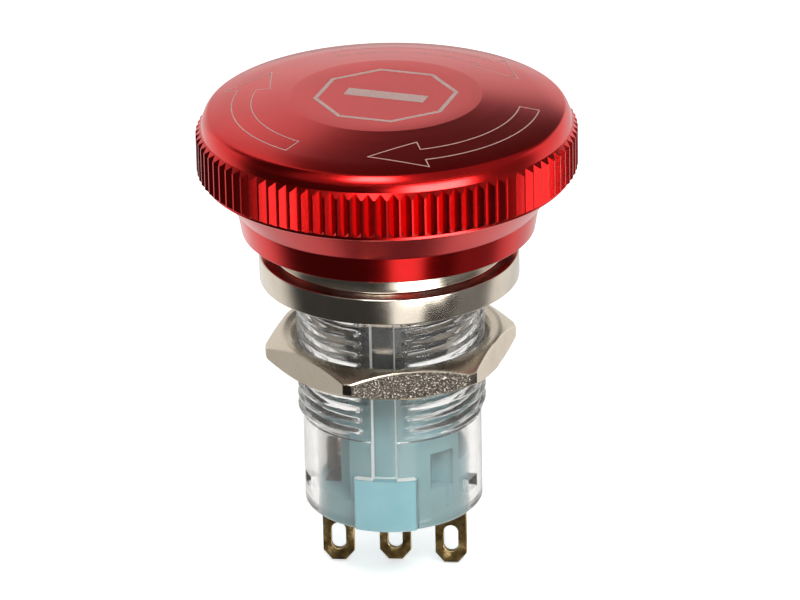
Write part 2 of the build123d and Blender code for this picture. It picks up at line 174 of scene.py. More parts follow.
# ---------------------------------------------------------------- material helpers
class Tree:
    """A node tree, with short ways to add and join nodes."""

    def __init__(self, tree):
        self.tree = tree

    def add(self, kind, **settings):
        node = self.tree.nodes.new(kind)
        for key, value in settings.items():
            setattr(node, key, value)
        return node

    def join(self, source, target):
        self.tree.links.new(source, target)

    def feed(self, socket, value):
        if isinstance(value, bpy.types.NodeSocket):
            self.join(value, socket)
        else:
            socket.default_value = value

    def maths(self, operation, *values):
        node = self.add("ShaderNodeMath", operation=operation)
        for socket, value in zip(node.inputs, values):
            self.feed(socket, value)
        return node.outputs[0]

    def split(self, vector):
        """The x, y and z of a vector."""
        node = self.add("ShaderNodeSeparateXYZ")
        self.join(vector, node.inputs[0])
        return node.outputs

    def mapped(self, value, start, end, low=0.0, high=1.0, **settings):
        """Maps start..end to low..high."""
        node = self.add("ShaderNodeMapRange", **settings)
        self.join(value, node.inputs["Value"])
        for label, number in (("From Min", start), ("From Max", end), ("To Min", low), ("To Max", high)):
            node.inputs[label].default_value = number
        return node.outputs["Result"]

    def within(self, value, half, soft):
        """1 while a value is within half of zero, falling to 0 across the softness."""
        away = self.maths("ABSOLUTE", value)
        start, end = half - soft / 2, half + soft / 2
        return self.mapped(away, start, end, 1.0, 0.0, interpolation_type="SMOOTHSTEP")


class Nodes(Tree):
    """A material's node tree. Noise scales are per metre, and bump distances in metres."""

    def __init__(self, name):
        self.material = bpy.data.materials.new(name)
        self.material.use_nodes = True
        super().__init__(self.material.node_tree)
        self.shader = self.tree.nodes["Principled BSDF"]
        self.object_space = self.add("ShaderNodeTexCoord").outputs["Object"]

    def noise(self, vector, scale, detail=3.0, roughness=0.5):
        node = self.add("ShaderNodeTexNoise")
        self.join(vector, node.inputs["Vector"])
        node.inputs["Scale"].default_value = scale
        node.inputs["Detail"].default_value = detail
        node.inputs["Roughness"].default_value = roughness
        return node.outputs["Fac"]

    def ramp(self, value, *stops):
        """Colour ramp through (position, colour) stops."""
        node = self.add("ShaderNodeValToRGB")
        self.join(value, node.inputs["Fac"])
        elements = node.color_ramp.elements
        while len(elements) < len(stops):
            elements.new(0.5)
        for element, (position, colour) in zip(elements, stops):
            element.position = position
            element.color = (*colour, 1.0)
        return node.outputs["Color"]

    def spread(self, value, low, high):
        """Maps noise, which mostly lies from 0.3 to 0.7, to low..high."""
        return self.mapped(value, 0.3, 0.7, low, high)

    def turned_space(self):
        """Coordinates (radius, height) of a turned part, so that noise runs in rings."""
        x, y, z = self.split(self.object_space)
        square = self.maths("ADD", self.maths("MULTIPLY", x, x), self.maths("MULTIPLY", y, y))
        joined = self.add("ShaderNodeCombineXYZ")
        self.join(self.maths("SQRT", square), joined.inputs[0])
        self.join(z, joined.inputs[1])
        return joined.outputs[0]

    def edges(self, radius):
        """Rounded normal and a mask that is 1 on the piece's sharp edges, 0 on its faces."""
        bevel = self.add("ShaderNodeBevel", samples=6)
        bevel.inputs["Radius"].default_value = radius
        dot = self.add("ShaderNodeVectorMath", operation="DOT_PRODUCT")
        self.join(bevel.outputs[0], dot.inputs[0])
        self.join(self.add("ShaderNodeNewGeometry").outputs["Normal"], dot.inputs[1])
        face_cosine, edge_cosine = 0.99, 0.8
        return bevel.outputs[0], self.mapped(dot.outputs["Value"], face_cosine, edge_cosine)

    def mixed(self, share, colour_a, colour_b):
        node = self.add("ShaderNodeMix", data_type="RGBA")
        for socket, value in zip(("Factor", "A", "B"), (share, colour_a, colour_b)):
            self.join(value, node.inputs[socket])
        return node.outputs["Result"]

    def bump(self, height, strength, distance, normal=None):
        node = self.add("ShaderNodeBump")
        if normal:
            self.join(normal, node.inputs["Normal"])
        self.join(height, node.inputs["Height"])
        node.inputs["Strength"].default_value = strength
        node.inputs["Distance"].default_value = distance
        self.join(node.outputs["Normal"], self.shader.inputs["Normal"])

    def finish(self, **inputs):
        for label, value in inputs.items():
            self.feed(self.shader.inputs[label.replace("_", " ")], value)
        return self.material


def red_anodised():
    n = Nodes("red_anodised")
    rings = n.noise(n.turned_space(), 9000.0, 2.0)
    cloud = n.noise(n.object_space, 260.0, 4.0)
    n.bump(rings, 0.12, 0.00003)
    return n.finish(
        Base_Color=n.ramp(cloud, (0.3, (0.66, 0.006, 0.006)), (0.7, (0.74, 0.009, 0.008))),
        Roughness=n.spread(rings, 0.18, 0.24), Metallic=1.0,
        Coat_Weight=0.3, Coat_Roughness=0.16, Coat_IOR=1.55)


def nickel(name, dark, light, rough_low, rough_high, ring_bump):
    n = Nodes(name)
    rings = n.noise(n.turned_space(), 7000.0, 2.0)
    cloud = n.noise(n.object_space, 420.0, 5.0)
    n.bump(rings, ring_bump, 0.00003)
    return n.finish(
        Base_Color=n.ramp(cloud, (0.3, dark), (0.7, light)),
        Roughness=n.spread(cloud, rough_low, rough_high), Metallic=1.0)


def cast_nickel():
    """Coarse flat of the nut, plated over the rough metal."""
    n = Nodes("nickel_coarse")
    grain = n.noise(n.object_space, 6600.0, 4.0, 0.75)
    n.bump(grain, 1.0, 0.00012)
    return n.finish(
        Base_Color=n.ramp(
            grain, (0.4, (0.05, 0.04, 0.035)), (0.55, (0.22, 0.19, 0.16)), (0.66, (0.95, 0.90, 0.82))),
        Roughness=n.spread(grain, 0.16, 0.30), Metallic=1.0)


def clear_polycarbonate():
    n = Nodes("clear_polycarbonate")
    flow = n.noise(n.object_space, 350.0, 3.0)
    n.bump(flow, 0.10, 0.0002)
    return n.finish(
        Base_Color=n.ramp(flow, (0.3, (0.71, 0.70, 0.68)), (0.7, (0.77, 0.765, 0.75))),
        Roughness=n.spread(flow, 0.06, 0.12), IOR=1.5, Transmission_Weight=0.96)


def teal_moulding():
    """Pale teal plastic, painted dark with shade at its upper end, above the nut, where it meets the metal
    sleeve.
    """
    n = Nodes("teal_moulding")
    grain = n.noise(n.object_space, 2600.0, 4.0)
    cloud = n.noise(n.object_space, 180.0, 3.0)
    n.bump(grain, 0.12, 0.00005)
    wavy = n.maths("ADD", n.split(n.object_space)["Z"], n.maths("MULTIPLY", cloud, 0.0015))
    # Painted shade: above the nut the teal blends into the dark ramp, which stands in for the shade that
    # the bezel and head cast there.
    painted_shade_mask = n.mapped(wavy, NUT_LOW_Z * MM, NUT_HIGH_Z * MM, interpolation_type="SMOOTHSTEP")
    plain = n.ramp(cloud, (0.3, (0.18, 0.35, 0.385)), (0.7, (0.235, 0.41, 0.445)))
    dark = n.ramp(cloud, (0.35, (0.006, 0.008, 0.008)), (0.65, (0.025, 0.033, 0.033)))
    return n.finish(
        Base_Color=n.mixed(painted_shade_mask, plain, dark),
        Roughness=n.spread(grain, 0.38, 0.5), Specular_IOR_Level=0.25, Subsurface_Weight=0.15,
        Subsurface_Scale=0.002)


def brass_tarnish_and_painted_shade():
    """Brass with a brown tarnish, painted darker inside the barrel as shade, and worn bright at its punched
    edges.
    """
    n = Nodes("brass_tarnish_and_painted_shade")
    blotch = n.noise(n.object_space, 900.0, 6.0, 0.65)
    rounded_normal, worn = n.edges(0.00012)
    n.bump(blotch, 0.25, 0.00006, rounded_normal)
    height = n.split(n.object_space)["Z"]
    # Painted shade: above the barrel's lower end the brass is pushed darker, standing in for the shade
    # inside the barrel.
    inner = n.mapped(height, BARREL_END_Z * MM, (BARREL_END_Z + 1.0) * MM, 0.0, 0.3)
    shade = n.maths("SUBTRACT", blotch, inner)
    patina_and_painted_shade = n.ramp(
        shade, (0.1, (0.03, 0.03, 0.03)), (0.36, (0.075, 0.05, 0.02)), (0.55, (0.20, 0.135, 0.05)),
        (0.7, (0.66, 0.49, 0.23)))
    bright = n.ramp(shade, (0.1, (0.04, 0.035, 0.03)), (0.4, (0.72, 0.50, 0.20)), (0.6, (0.92, 0.72, 0.38)))
    return n.finish(
        Base_Color=n.mixed(worn, patina_and_painted_shade, bright),
        Roughness=n.spread(blotch, 0.28, 0.5), Metallic=1.0)


def plain_metal(name, dark, light, rough):
    n = Nodes(name)
    cloud = n.noise(n.object_space, 1200.0, 4.0)
    n.bump(cloud, 0.08, 0.00003)
    return n.finish(
        Base_Color=n.ramp(cloud, (0.3, dark), (0.7, light)),
        Roughness=n.spread(cloud, rough - 0.06, rough + 0.06), Metallic=1.0)


def plain_moulding(name, dark, light, rough):
    n = Nodes(name)
    grain = n.noise(n.object_space, 2200.0, 4.0)
    n.bump(grain, 0.1, 0.00004)
    return n.finish(
        Base_Color=n.ramp(grain, (0.3, dark), (0.7, light)),
        Roughness=n.spread(grain, rough - 0.06, rough + 0.06))


def etched():
    """Pale frosted line left where the colour is lasered away."""
    n = Nodes("etched")
    grain = n.noise(n.object_space, 5000.0, 3.0)
    n.bump(grain, 0.2, 0.00002)
    return n.finish(
        Base_Color=n.ramp(grain, (0.3, (0.42, 0.27, 0.25)), (0.7, (0.54, 0.38, 0.35))),
        Roughness=n.spread(grain, 0.5, 0.65), Metallic=0.2)


def frosted():
    """Cut edge of the clear plastic, rough and whitish."""
    n = Nodes("frosted_edge")
    grain = n.noise(n.object_space, 6000.0, 4.0)
    n.bump(grain, 0.3, 0.00005)
    return n.finish(
        Base_Color=n.ramp(grain, (0.3, (0.62, 0.64, 0.63)), (0.7, (0.86, 0.87, 0.86))),
        Roughness=n.spread(grain, 0.4, 0.6), Transmission_Weight=0.25)


# ---------------------------------------------------------------- the head
def rounded_edge(t):
    """Point on the rounded edge between the conical top and the rim's chamfer, t from 0 to 1."""
    corner_r, corner_z = SHOULDER_R - 0.12, CONE_Z - 0.38
    r = CONE_R * (1 - t) ** 2 + corner_r * 2 * t * (1 - t) + SHOULDER_R * t ** 2
    z = CONE_Z * (1 - t) ** 2 + corner_z * 2 * t * (1 - t) + SHOULDER_Z * t ** 2
    return r, z


def flute_radius(share):
    """Radius of the knurl at a share of one pitch."""
    ridge_half = 0.07
    away = abs(share - 0.5)
    return HEAD_R - FLUTE_DEPTH * max(away - ridge_half, 0.0) / (0.5 - ridge_half)


def head_column(share):
    """Closed (radius, z) outline of the head at a share of one knurl pitch."""
    r_flute = flute_radius(share)
    inset = HEAD_R - r_flute
    edge, steps = 0.04, 16
    top = [(r, HEAD_TOP_Z) for r in (CENTRE_R, 3.0, 6.0, FLAT_R - edge)]
    top += [(r, top_z(r)) for r in (FLAT_R + edge, CONE_R - 2.0, CONE_R - edge)]
    top += [rounded_edge(i / steps) for i in range(1, steps + 1)]
    knurl = [(SHOULDER_R + 0.03, SHOULDER_Z - 0.03), (r_flute, KNURL_TOP_Z + inset)]
    knurl += [(r_flute, KNURL_END_Z - inset * 0.7), (SHOULDER_R, KNURL_END_Z - 0.32)]
    knurl += [(SHOULDER_R + 0.02, KNURL_END_Z - 0.5), (SHOULDER_R - 0.08, KNURL_END_Z - 0.6)]
    skirt = [(LIP_R, KNURL_END_Z - 0.62), (LIP_R - 0.1, KNURL_END_Z - 0.68)]
    skirt += [(LIP_R - 0.16, KNURL_END_Z - 0.76), (SKIRT_TOP_R + 0.18, SKIRT_TOP_Z + 0.21)]
    skirt += [(SKIRT_TOP_R + 0.12, SKIRT_TOP_Z + 0.13), (SKIRT_TOP_R, SKIRT_TOP_Z + 0.02)]
    skirt += [(SKIRT_TOP_R - 0.01, SKIRT_TOP_Z - 0.08), (SKIRT_TOP_R - 0.025, SKIRT_TOP_Z - 0.16)]
    skirt += [(SKIRT_R + 0.045, SKIRT_END_Z + 0.2), (SKIRT_R + 0.03, SKIRT_END_Z + 0.12)]
    skirt += [(SKIRT_R - 0.1, SKIRT_END_Z), (SKIRT_BORE_R + 0.1, SKIRT_END_Z)]
    inside = [(SKIRT_BORE_R, SKIRT_END_Z + 0.1), (SKIRT_BORE_R, HOLLOW_END_Z), (HOLLOW_R, HOLLOW_END_Z)]
    inside += [(HOLLOW_R, ROOF_Z), (BOSS_R, ROOF_Z), (BOSS_R, BOSS_END_Z), (SPINDLE_R, BOSS_END_Z)]
    inside += [(SPINDLE_R, SPINDLE_TOP_Z), (CENTRE_R, SPINDLE_TOP_Z)]
    return top + knurl + skirt + inside


def make_head():
    """Turned and knurled head, solid at its centre under a closing disc of faces."""
    shares = (0.0, 0.15, 0.3, 0.43, 0.57, 0.7, 0.85)
    outlines = [head_column(share) for share in shares]
    columns = []
    for flute in range(FLUTES):
        for share, outline in zip(shares, outlines):
            columns.append(spun(2 * math.pi * (flute + share) / FLUTES, outline))
    vertices, faces = loft_closed(columns)
    rows = len(columns[0])
    faces = [f for f in faces if not {f[0] % rows, f[3] % rows} == {0, rows - 1}]
    faces.append(tuple(i * rows for i in reversed(range(len(columns)))))
    faces.append(tuple(i * rows + rows - 1 for i in range(len(columns))))
    head = new_object("head", vertices, faces, sharp_deg=24.0)
    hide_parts("head_cap")
    return head


def top_z(r):
    """Height of the head's top at a radius."""
    return HEAD_TOP_Z - max(r - FLAT_R, 0.0) * (HEAD_TOP_Z - CONE_Z) / (CONE_R - FLAT_R)


def subdivided(points, closed, longest=0.3):
    """Points with long segments split, so that the line follows the cone."""
    out = []
    pairs = zip(points, points[1:] + points[:1]) if closed else zip(points, points[1:])
    for start, end in pairs:
        start, end = Vector(start), Vector(end)
        steps = max(1, math.ceil((end - start).length / longest))
        out += [tuple(start.lerp(end, i / steps)) for i in range(steps)]
    return out if closed else out + [tuple(points[-1])]


def etch_line(points, width, closed=True):
    """Vertices and faces of a thin ribbon laid on the head's top along (x, y) points."""
    points = subdivided(points, closed)
    count = len(points)
    vertices, faces = [], []
    for i, point in enumerate(points):
        here = Vector(point)
        before = Vector(points[i - 1]) if closed or i else here
        after = Vector(points[(i + 1) % count]) if closed or i < count - 1 else here
        ahead, behind = (after - here).normalized(), (here - before).normalized()
        along = (ahead + behind).normalized()
        across = Vector((-along.y, along.x))
        stretch = 1 / max(abs(across.dot(Vector((-ahead.y, ahead.x)))), 0.5) if ahead.length else 1
        for side in (-1, 1):
            place = here + across * side * stretch * width / 2
            base = top_z(place.length)
            vertices.append((place.x, place.y, base - ETCH_T))
            vertices.append((place.x, place.y, base + ETCH_T))
    for i in range(count if closed else count - 1):
        a, b = 4 * i, 4 * ((i + 1) % count)
        faces.append((a + 1, a + 3, b + 3, b + 1))
        faces.append((a + 3, a + 2, b + 2, b + 3))
        faces.append((a + 2, a, b, b + 2))
        faces.append((a, a + 1, b + 1, b))
    if not closed:
        last = 4 * (count - 1)
        faces.append((0, 2, 3, 1))
        faces.append((last, last + 1, last + 3, last + 2))
    return vertices, faces


def polar(r, degrees):
    return r * math.cos(math.radians(degrees)), r * math.sin(math.radians(degrees))


def arrow_outline(tip_deg):
    """Curved outline arrow that points clockwise, as (x, y) points."""
    neck, tail = tip_deg + ARROW_HEAD_DEG, tip_deg + ARROW_SPAN_DEG
    steps = 30
    points = [polar(ARROW_R, tip_deg), polar(ARROW_R + ARROW_WING, neck)]
    for i in range(steps + 1):
        points.append(polar(ARROW_R + ARROW_HALF, neck + (tail - neck) * i / steps))
    for i in range(steps + 1):
        points.append(polar(ARROW_R - ARROW_HALF, tail + (neck - tail) * i / steps))
    points.append(polar(ARROW_R - ARROW_WING, neck))
    return points


def sign_lines():
    """Generic stop sign: an octagon around a solid bar, as (points, width, closed) lines."""
    octagon = [polar(SIGN_R, SIGN_YAW_DEG + 22.5 + 45 * i) for i in range(8)]
    turn = Matrix.Rotation(math.radians(SIGN_YAW_DEG), 2)
    ends = [tuple(turn @ Vector((x, 0))) for x in (-SIGN_BAR_L / 2, SIGN_BAR_L / 2)]
    return [(octagon, SIGN_W, True), (ends, SIGN_BAR_W, False)]


def make_etching():
    vertices, faces = [], []
    lines = [(arrow_outline(ARROW_TIP_DEG + 120 * i), ETCH_W, True) for i in range(3)]
    for points, width, closed in lines + sign_lines():
        more, links = etch_line(points, width, closed)
        start = len(vertices)
        vertices += more
        faces += [tuple(start + k for k in link) for link in links]
    return new_object("head_etching", vertices, faces)


# ---------------------------------------------------------------- the barrel
def cut_angles():
    """Angles from the front around the barrel, with every cut edge among them."""
    uniform = 300
    angles = [-math.pi + 2 * math.pi * i / uniform for i in range(uniform)]
    edges = [NOTCH_HALF, KEYWAY_HALF, KEYWAY_HALF + GROOVE_WALL]
    edges += [WINDOW_ANGLE - WINDOW_HALF, WINDOW_ANGLE + WINDOW_HALF]
    exact = sorted(edges + [-e for e in edges])
    nearest = 0.006
    kept = [a for a in angles if min(abs(a - e) for e in exact) > nearest]
    return sorted(kept + exact)


def thread_height(angle, z):
    """Share of the thread's depth at a place, with its run-outs."""
    phase = (z / THREAD_PITCH - angle / (2 * math.pi)) % 1.0
    away = abs(phase - 0.5) * 2
    crest = blend_step(0.0, 1.0, (0.80 - away) / 0.66)
    across = abs(math.sin(angle)) * THREAD_R if math.cos(angle) > 0 else THREAD_R
    beside = blend_step(THREAD_GAP_W / 2, THREAD_GAP_W / 2 + 0.55, across)
    lower = blend_step(THREAD_END_Z, THREAD_END_Z + THREAD_RUN_OUT, z)
    upper = 1 - blend_step(THREAD_TOP_Z - THREAD_RUN_OUT, THREAD_TOP_Z, z)
    return crest * beside * (lower * upper)


def barrel_radius(angle, z):
    """Outer radius of the barrel, angle counted from the front, anticlockwise from above."""
    if abs(angle) < KEYWAY_HALF + CUT_TOLERANCE and z > NOTCH_TOP_Z - CUT_TOLERANCE:
        return KEYWAY_R
    if z > THREAD_TOP_Z:
        return SPIGOT_R
    if z > THREAD_END_Z:
        return THREAD_ROOT_R + (THREAD_R - THREAD_ROOT_R) * thread_height(angle, z)
    return BASE_R - BARREL_LIP_IN * blend_step(0.0, BARREL_LIP_H, BARREL_END_Z + BARREL_LIP_H - z)


class BarrelGrid:
    """Wall of the barrel in columns of angles and rows of heights, with some cells cut away."""

    def __init__(self):
        self.angles = cut_angles()
        self.count = len(self.angles)
        steps, lip_steps = 230, 4
        thread = [THREAD_TOP_Z + (THREAD_END_Z - THREAD_TOP_Z) * i / steps for i in range(steps + 1)]
        lower = [NOTCH_TOP_Z, WINDOW_HIGH_Z, WINDOW_LOW_Z, BARREL_END_Z + 0.5]
        lower += [BARREL_END_Z + BARREL_LIP_H * (1 - i / lip_steps) for i in range(lip_steps + 1)]
        self.outer_z = [BARREL_TOP_Z, THREAD_TOP_Z + 0.03] + thread
        self.outer_z += [THREAD_END_Z - 0.06, THREAD_END_Z - 1.0] + lower
        self.inner_z = [BARREL_TOP_Z] + lower
        self.first = len(self.outer_z) - len(lower)

    def vertices(self):
        """Vertices of the outer wall, then of the bore."""
        places = [(a, barrel_radius(a, z), z) for a in self.angles for z in self.outer_z]
        places += [(a, BORE_R, z) for a in self.angles for z in self.inner_z]
        return [(r * math.sin(a), -r * math.cos(a), z) for a, r, z in places]

    def outside(self, i, j):
        return i % self.count * len(self.outer_z) + j

    def inside(self, i, j):
        return self.count * len(self.outer_z) + i % self.count * len(self.inner_z) + j

    def is_open(self, i, low_row):
        """Whether the cell under an inner row is cut away, by the notch or by a snap window."""
        if not 1 <= low_row < len(self.inner_z) - 1:
            return False
        here, there = self.angles[i % self.count], self.angles[(i + 1) % self.count]
        middle = here + ((there - here) % (2 * math.pi)) / 2
        high, low = self.inner_z[low_row], self.inner_z[low_row + 1]
        if abs(middle) < NOTCH_HALF and high <= NOTCH_TOP_Z + CUT_TOLERANCE:
            return True
        beside = abs(abs(middle) - WINDOW_ANGLE) < WINDOW_HALF
        return beside and high <= WINDOW_HIGH_Z + CUT_TOLERANCE and low >= WINDOW_LOW_Z - CUT_TOLERANCE

    def is_groove_wall(self, i):
        """Whether column i is a side wall of the key groove."""
        here, there = self.angles[i], self.angles[(i + 1) % self.count]
        close = 0.0001
        at_edge = min(abs(abs(here) - KEYWAY_HALF), abs(abs(there) - KEYWAY_HALF)) < close
        return at_edge and abs(there - here - GROOVE_WALL) < close

    def skin(self, i):
        """Outer and bore faces of a column, each with whether it is a cut edge."""
        outside, inside = self.outside, self.inside
        for j in range(len(self.outer_z) - 1):
            if not self.is_open(i, j - self.first + 1):
                is_cut = self.is_groove_wall(i) and self.outer_z[j] > NOTCH_TOP_Z + CUT_TOLERANCE
                yield (outside(i, j), outside(i, j + 1), outside(i + 1, j + 1), outside(i + 1, j)), is_cut
        for j in range(len(self.inner_z) - 1):
            if not self.is_open(i, j):
                yield (inside(i, j), inside(i + 1, j), inside(i + 1, j + 1), inside(i, j + 1)), False

    def ends(self, i):
        """Upper and lower end faces of a column."""
        outside, inside = self.outside, self.inside
        low_out, low_in = len(self.outer_z) - 1, len(self.inner_z) - 1
        yield (outside(i, 0), outside(i + 1, 0), inside(i + 1, 0), inside(i, 0)), False
        if not self.is_open(i, low_in - 1):
            face = (outside(i, low_out), inside(i, low_in), inside(i + 1, low_in), outside(i + 1, low_out))
            yield face, False

    def cut_walls(self, i):
        """Walls where a cell that is cut away meets one that isn't."""
        outside, inside = self.outside, self.inside
        at_notch = abs(self.angles[i]) < NOTCH_HALF + 0.01
        for j in range(1, len(self.inner_z) - 1):
            row = j + self.first - 1
            if self.is_open(i, j) != self.is_open(i - 1, j):
                wall = (outside(i, row), outside(i, row + 1), inside(i, j + 1), inside(i, j))
                yield (wall if self.is_open(i, j) else wall[::-1]), at_notch
            if self.is_open(i, j) != self.is_open(i, j - 1):
                wall = (outside(i, row), outside(i + 1, row), inside(i + 1, j), inside(i, j))
                yield (wall if self.is_open(i, j - 1) else wall[::-1]), at_notch


def make_barrel(materials):
    """Clear barrel with a true helical thread, key groove, latch notch and snap windows."""
    grid = BarrelGrid()
    faces, cuts = [], []
    for i in range(grid.count):
        for face, is_cut in (*grid.skin(i), *grid.ends(i), *grid.cut_walls(i)):
            faces.append(face)
            cuts.append(is_cut)
    barrel = new_object("clear_barrel", grid.vertices(), faces, sharp_deg=40.0)
    barrel.data.materials.append(materials["clear_plastic"])
    barrel.data.materials.append(materials["frosted_edge"])
    for polygon, is_cut in zip(barrel.data.polygons, cuts):
        polygon.material_index = 1 if is_cut else 0
    barrel.visible_shadow = False
    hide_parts("barrel")
    return barrel


# ---------------------------------------------------------------- bezel and nut
def make_bezel():
    """Bezel with its collar, spring pocket and seal groove, every corner rounded."""
    flange_t, neck_r, bore, corner = 2.3, 9.7, 3.05, 0.16
    pocket_in, pocket_out, pocket_floor = 5.6, 7.7, 1.2
    seal_in, seal_out, seal_depth = 8.5, 9.9, 0.8
    sleeve_r = 6.45
    outline = rounded([
        (bore, SLEEVE_END_Z), (sleeve_r, SLEEVE_END_Z), (sleeve_r, 0.0),
        (seal_in, 0.0), (seal_in, seal_depth), (seal_out, seal_depth), (seal_out, 0.0),
        (FLANGE_R, 0.0), (FLANGE_R, flange_t), (neck_r, flange_t), (neck_r, NECK_TOP_Z),
        (pocket_out, NECK_TOP_Z), (pocket_out, pocket_floor), (pocket_in, pocket_floor),
        (pocket_in, NECK_TOP_Z), (bore, NECK_TOP_Z)], corner)
    bezel = lathe("bezel_ring", outline)
    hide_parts("bezel")
    return bezel


def make_nut(materials):
    """Hexagon nut turned down at its corners, both faces chamfered, bore countersunk in two steps."""
    flat, corner_r, yaw_deg = 9.5, 10.75, 15.5
    bore, sink, step, rim, chamfer_r, edge = THREAD_R + 0.05, 0.45, 0.12, 0.9, 9.4, 0.08
    slope = math.tan(math.radians(30))
    low, high = NUT_LOW_Z, NUT_HIGH_Z
    sixth = math.radians(60)
    half_corner = sixth / 2 - math.acos(flat / corner_r)
    steps = 40
    corner_shares = (-1, -0.5, 0, 0.5)
    offsets = [half_corner * share for share in corner_shares]
    offsets += [half_corner + (sixth - 2 * half_corner) * i / steps for i in range(steps)]
    columns = []
    for corner in range(6):
        for offset in offsets:
            from_flat = offset % sixth - sixth / 2
            r = min(flat / math.cos(from_flat), corner_r)
            drop = (r - chamfer_r) * slope
            half = [
                (bore, sink + step), (bore + sink, step), (bore + sink + 0.03, 0.1),
                (bore + rim - 0.02, 0.01), (bore + rim + 0.02, 0.0), (chamfer_r - edge, 0.0),
                (chamfer_r + edge, edge * slope), (r - edge, drop - edge * slope),
                (r - edge * 0.3, drop + edge * 0.3), (r, drop + edge)]
            outline = [(x, low + y) for x, y in half] + [(x, high - y) for x, y in reversed(half)]
            columns.append(spun(sixth * corner + offset + math.radians(yaw_deg), outline))
    vertices, faces = loft_closed(columns)
    nut = new_object("hexagon_nut", vertices, faces, sharp_deg=18.0)
    for name in ("nickel_nut", "nickel_coarse", "nickel_turned"):
        nut.data.materials.append(materials[name])
    front_flat = 4
    per_corner = len(offsets) * len(outline)
    # Corner strips take nickel_turned, whose dark colour is a painted dark reflection; the front flat takes
    # the coarse finish.
    for polygon, face in zip(nut.data.polygons, faces):
        on_side = face[0] % len(outline) == len(half) - 1
        past_corner = face[0] % per_corner // len(outline) >= len(corner_shares)
        if on_side and (not past_corner or face[0] // per_corner == front_flat):
            polygon.material_index = 1 if past_corner else 2
    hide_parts("lock_nut")
    return nut


# ---------------------------------------------------------------- springs
def coil_vertices(centre, mean_r, wire_r, low, high, turns, end_turns):
    """Rings of a coil's wire, its end turns closed up and flat."""
    per_turn, around = 48, 12
    steps = int(turns * per_turn)
    lead = 2 * wire_r
    free = (high - low - lead - 2 * end_turns * lead) / (turns - 2 * end_turns)
    rings = []
    z = low + wire_r
    for i in range(steps + 1):
        turn = i / per_turn
        angle = 2 * math.pi * turn
        out = Vector((math.cos(angle), math.sin(angle), 0))
        middle = Vector((*centre, z)) + out * mean_r
        ring = []
        for k in range(around):
            around_wire = 2 * math.pi * k / around
            rise = Vector((0, 0, wire_r * math.sin(around_wire)))
            ring.append(middle + out * wire_r * math.cos(around_wire) + rise)
        rings.append(ring)
        closed = turn < end_turns or turn >= turns - end_turns
        z += (lead if closed else free) / per_turn
    return rings


def make_coil(name, node, centre, mean_r, wire_r, turns, end_turns):
    """Compression spring over the height of its CAD node, with closed ends."""
    low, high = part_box(node)
    rings = coil_vertices(centre, mean_r, wire_r, low.z / MM, high.z / MM, turns, end_turns)
    around = len(rings[0])
    vertices = [point for ring in rings for point in ring]
    faces = [tuple(reversed(range(around))), tuple(range(len(vertices) - around, len(vertices)))]
    for i in range(len(rings) - 1):
        for k in range(around):
            a, b = i * around + k, i * around + (k + 1) % around
            faces.append((a, b, b + around, a + around))
    spring = new_object(name, vertices, faces, sharp_deg=60.0)
    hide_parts(node)
    return spring


def squash_spring(spring, node):
    """Gives a spring a mesh of its own; the spring is not shortened."""
    low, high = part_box(node)
    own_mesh(spring)


# ---------------------------------------------------------------- materials on the CAD nodes
def dress_frame(materials):
    """Gives every carried-over CAD node the material of its slot."""
    for part in frame["record"]["subparts"]:
        node = NODES[part["node"]]
        node.data.materials.clear()
        node.data.materials.append(materials[part["material_slot"]])


def make_materials():
    """Materials by the record's slot names, and those of single faces by their own."""
    return {
        "nickel_nut": nickel("nickel_nut", (0.69, 0.60, 0.48), (0.80, 0.71, 0.59), 0.22, 0.32, 0.10),
        # Painted reflection: the dark nickel_turned on the nut's corner strips stands in for the dark
        # surroundings that they reflect.
        "nickel_turned": nickel("nickel_turned", (0.20, 0.17, 0.14), (0.30, 0.26, 0.22), 0.2, 0.3, 0.1),
        "nickel_coarse": cast_nickel(),
        "etched": etched(),
        "frosted_edge": frosted(),
        "red_anodised": red_anodised(),
        "nickel_plate": nickel("nickel_bezel", (0.60, 0.53, 0.44), (0.70, 0.64, 0.56), 0.14, 0.20, 0.10),
        "clear_plastic": clear_polycarbonate(),
        "teal_plastic": teal_moulding(),
        "black_rubber": plain_moulding("black_rubber", (0.012, 0.012, 0.012), (0.03, 0.03, 0.03), 0.6),
        "spring_steel": plain_metal("spring_steel", (0.42, 0.42, 0.43), (0.6, 0.6, 0.61), 0.25),
        "turned_brass": plain_metal("turned_brass", (0.55, 0.40, 0.16), (0.75, 0.58, 0.28), 0.22),
        "terminal_brass": brass_tarnish_and_painted_shade(),
        "contact_copper": plain_metal("contact_copper", (0.55, 0.28, 0.16), (0.78, 0.45, 0.28), 0.25),
        "contact_silver": plain_metal("contact_silver", (0.7, 0.7, 0.68), (0.85, 0.85, 0.83), 0.2),
        "white_acetal": plain_moulding("white_acetal", (0.72, 0.72, 0.69), (0.82, 0.82, 0.8), 0.4),
    }


# ---------------------------------------------------------------- stage
def direction(azimuth_deg, elevation_deg):
    """Unit vector at an azimuth counted from the camera's, and an elevation."""
    azimuth, elevation = CAMERA_AZ + math.radians(azimuth_deg), math.radians(elevation_deg)
    flat = math.cos(elevation)
    return Vector((math.sin(azimuth) * flat, -math.cos(azimuth) * flat, math.sin(elevation)))


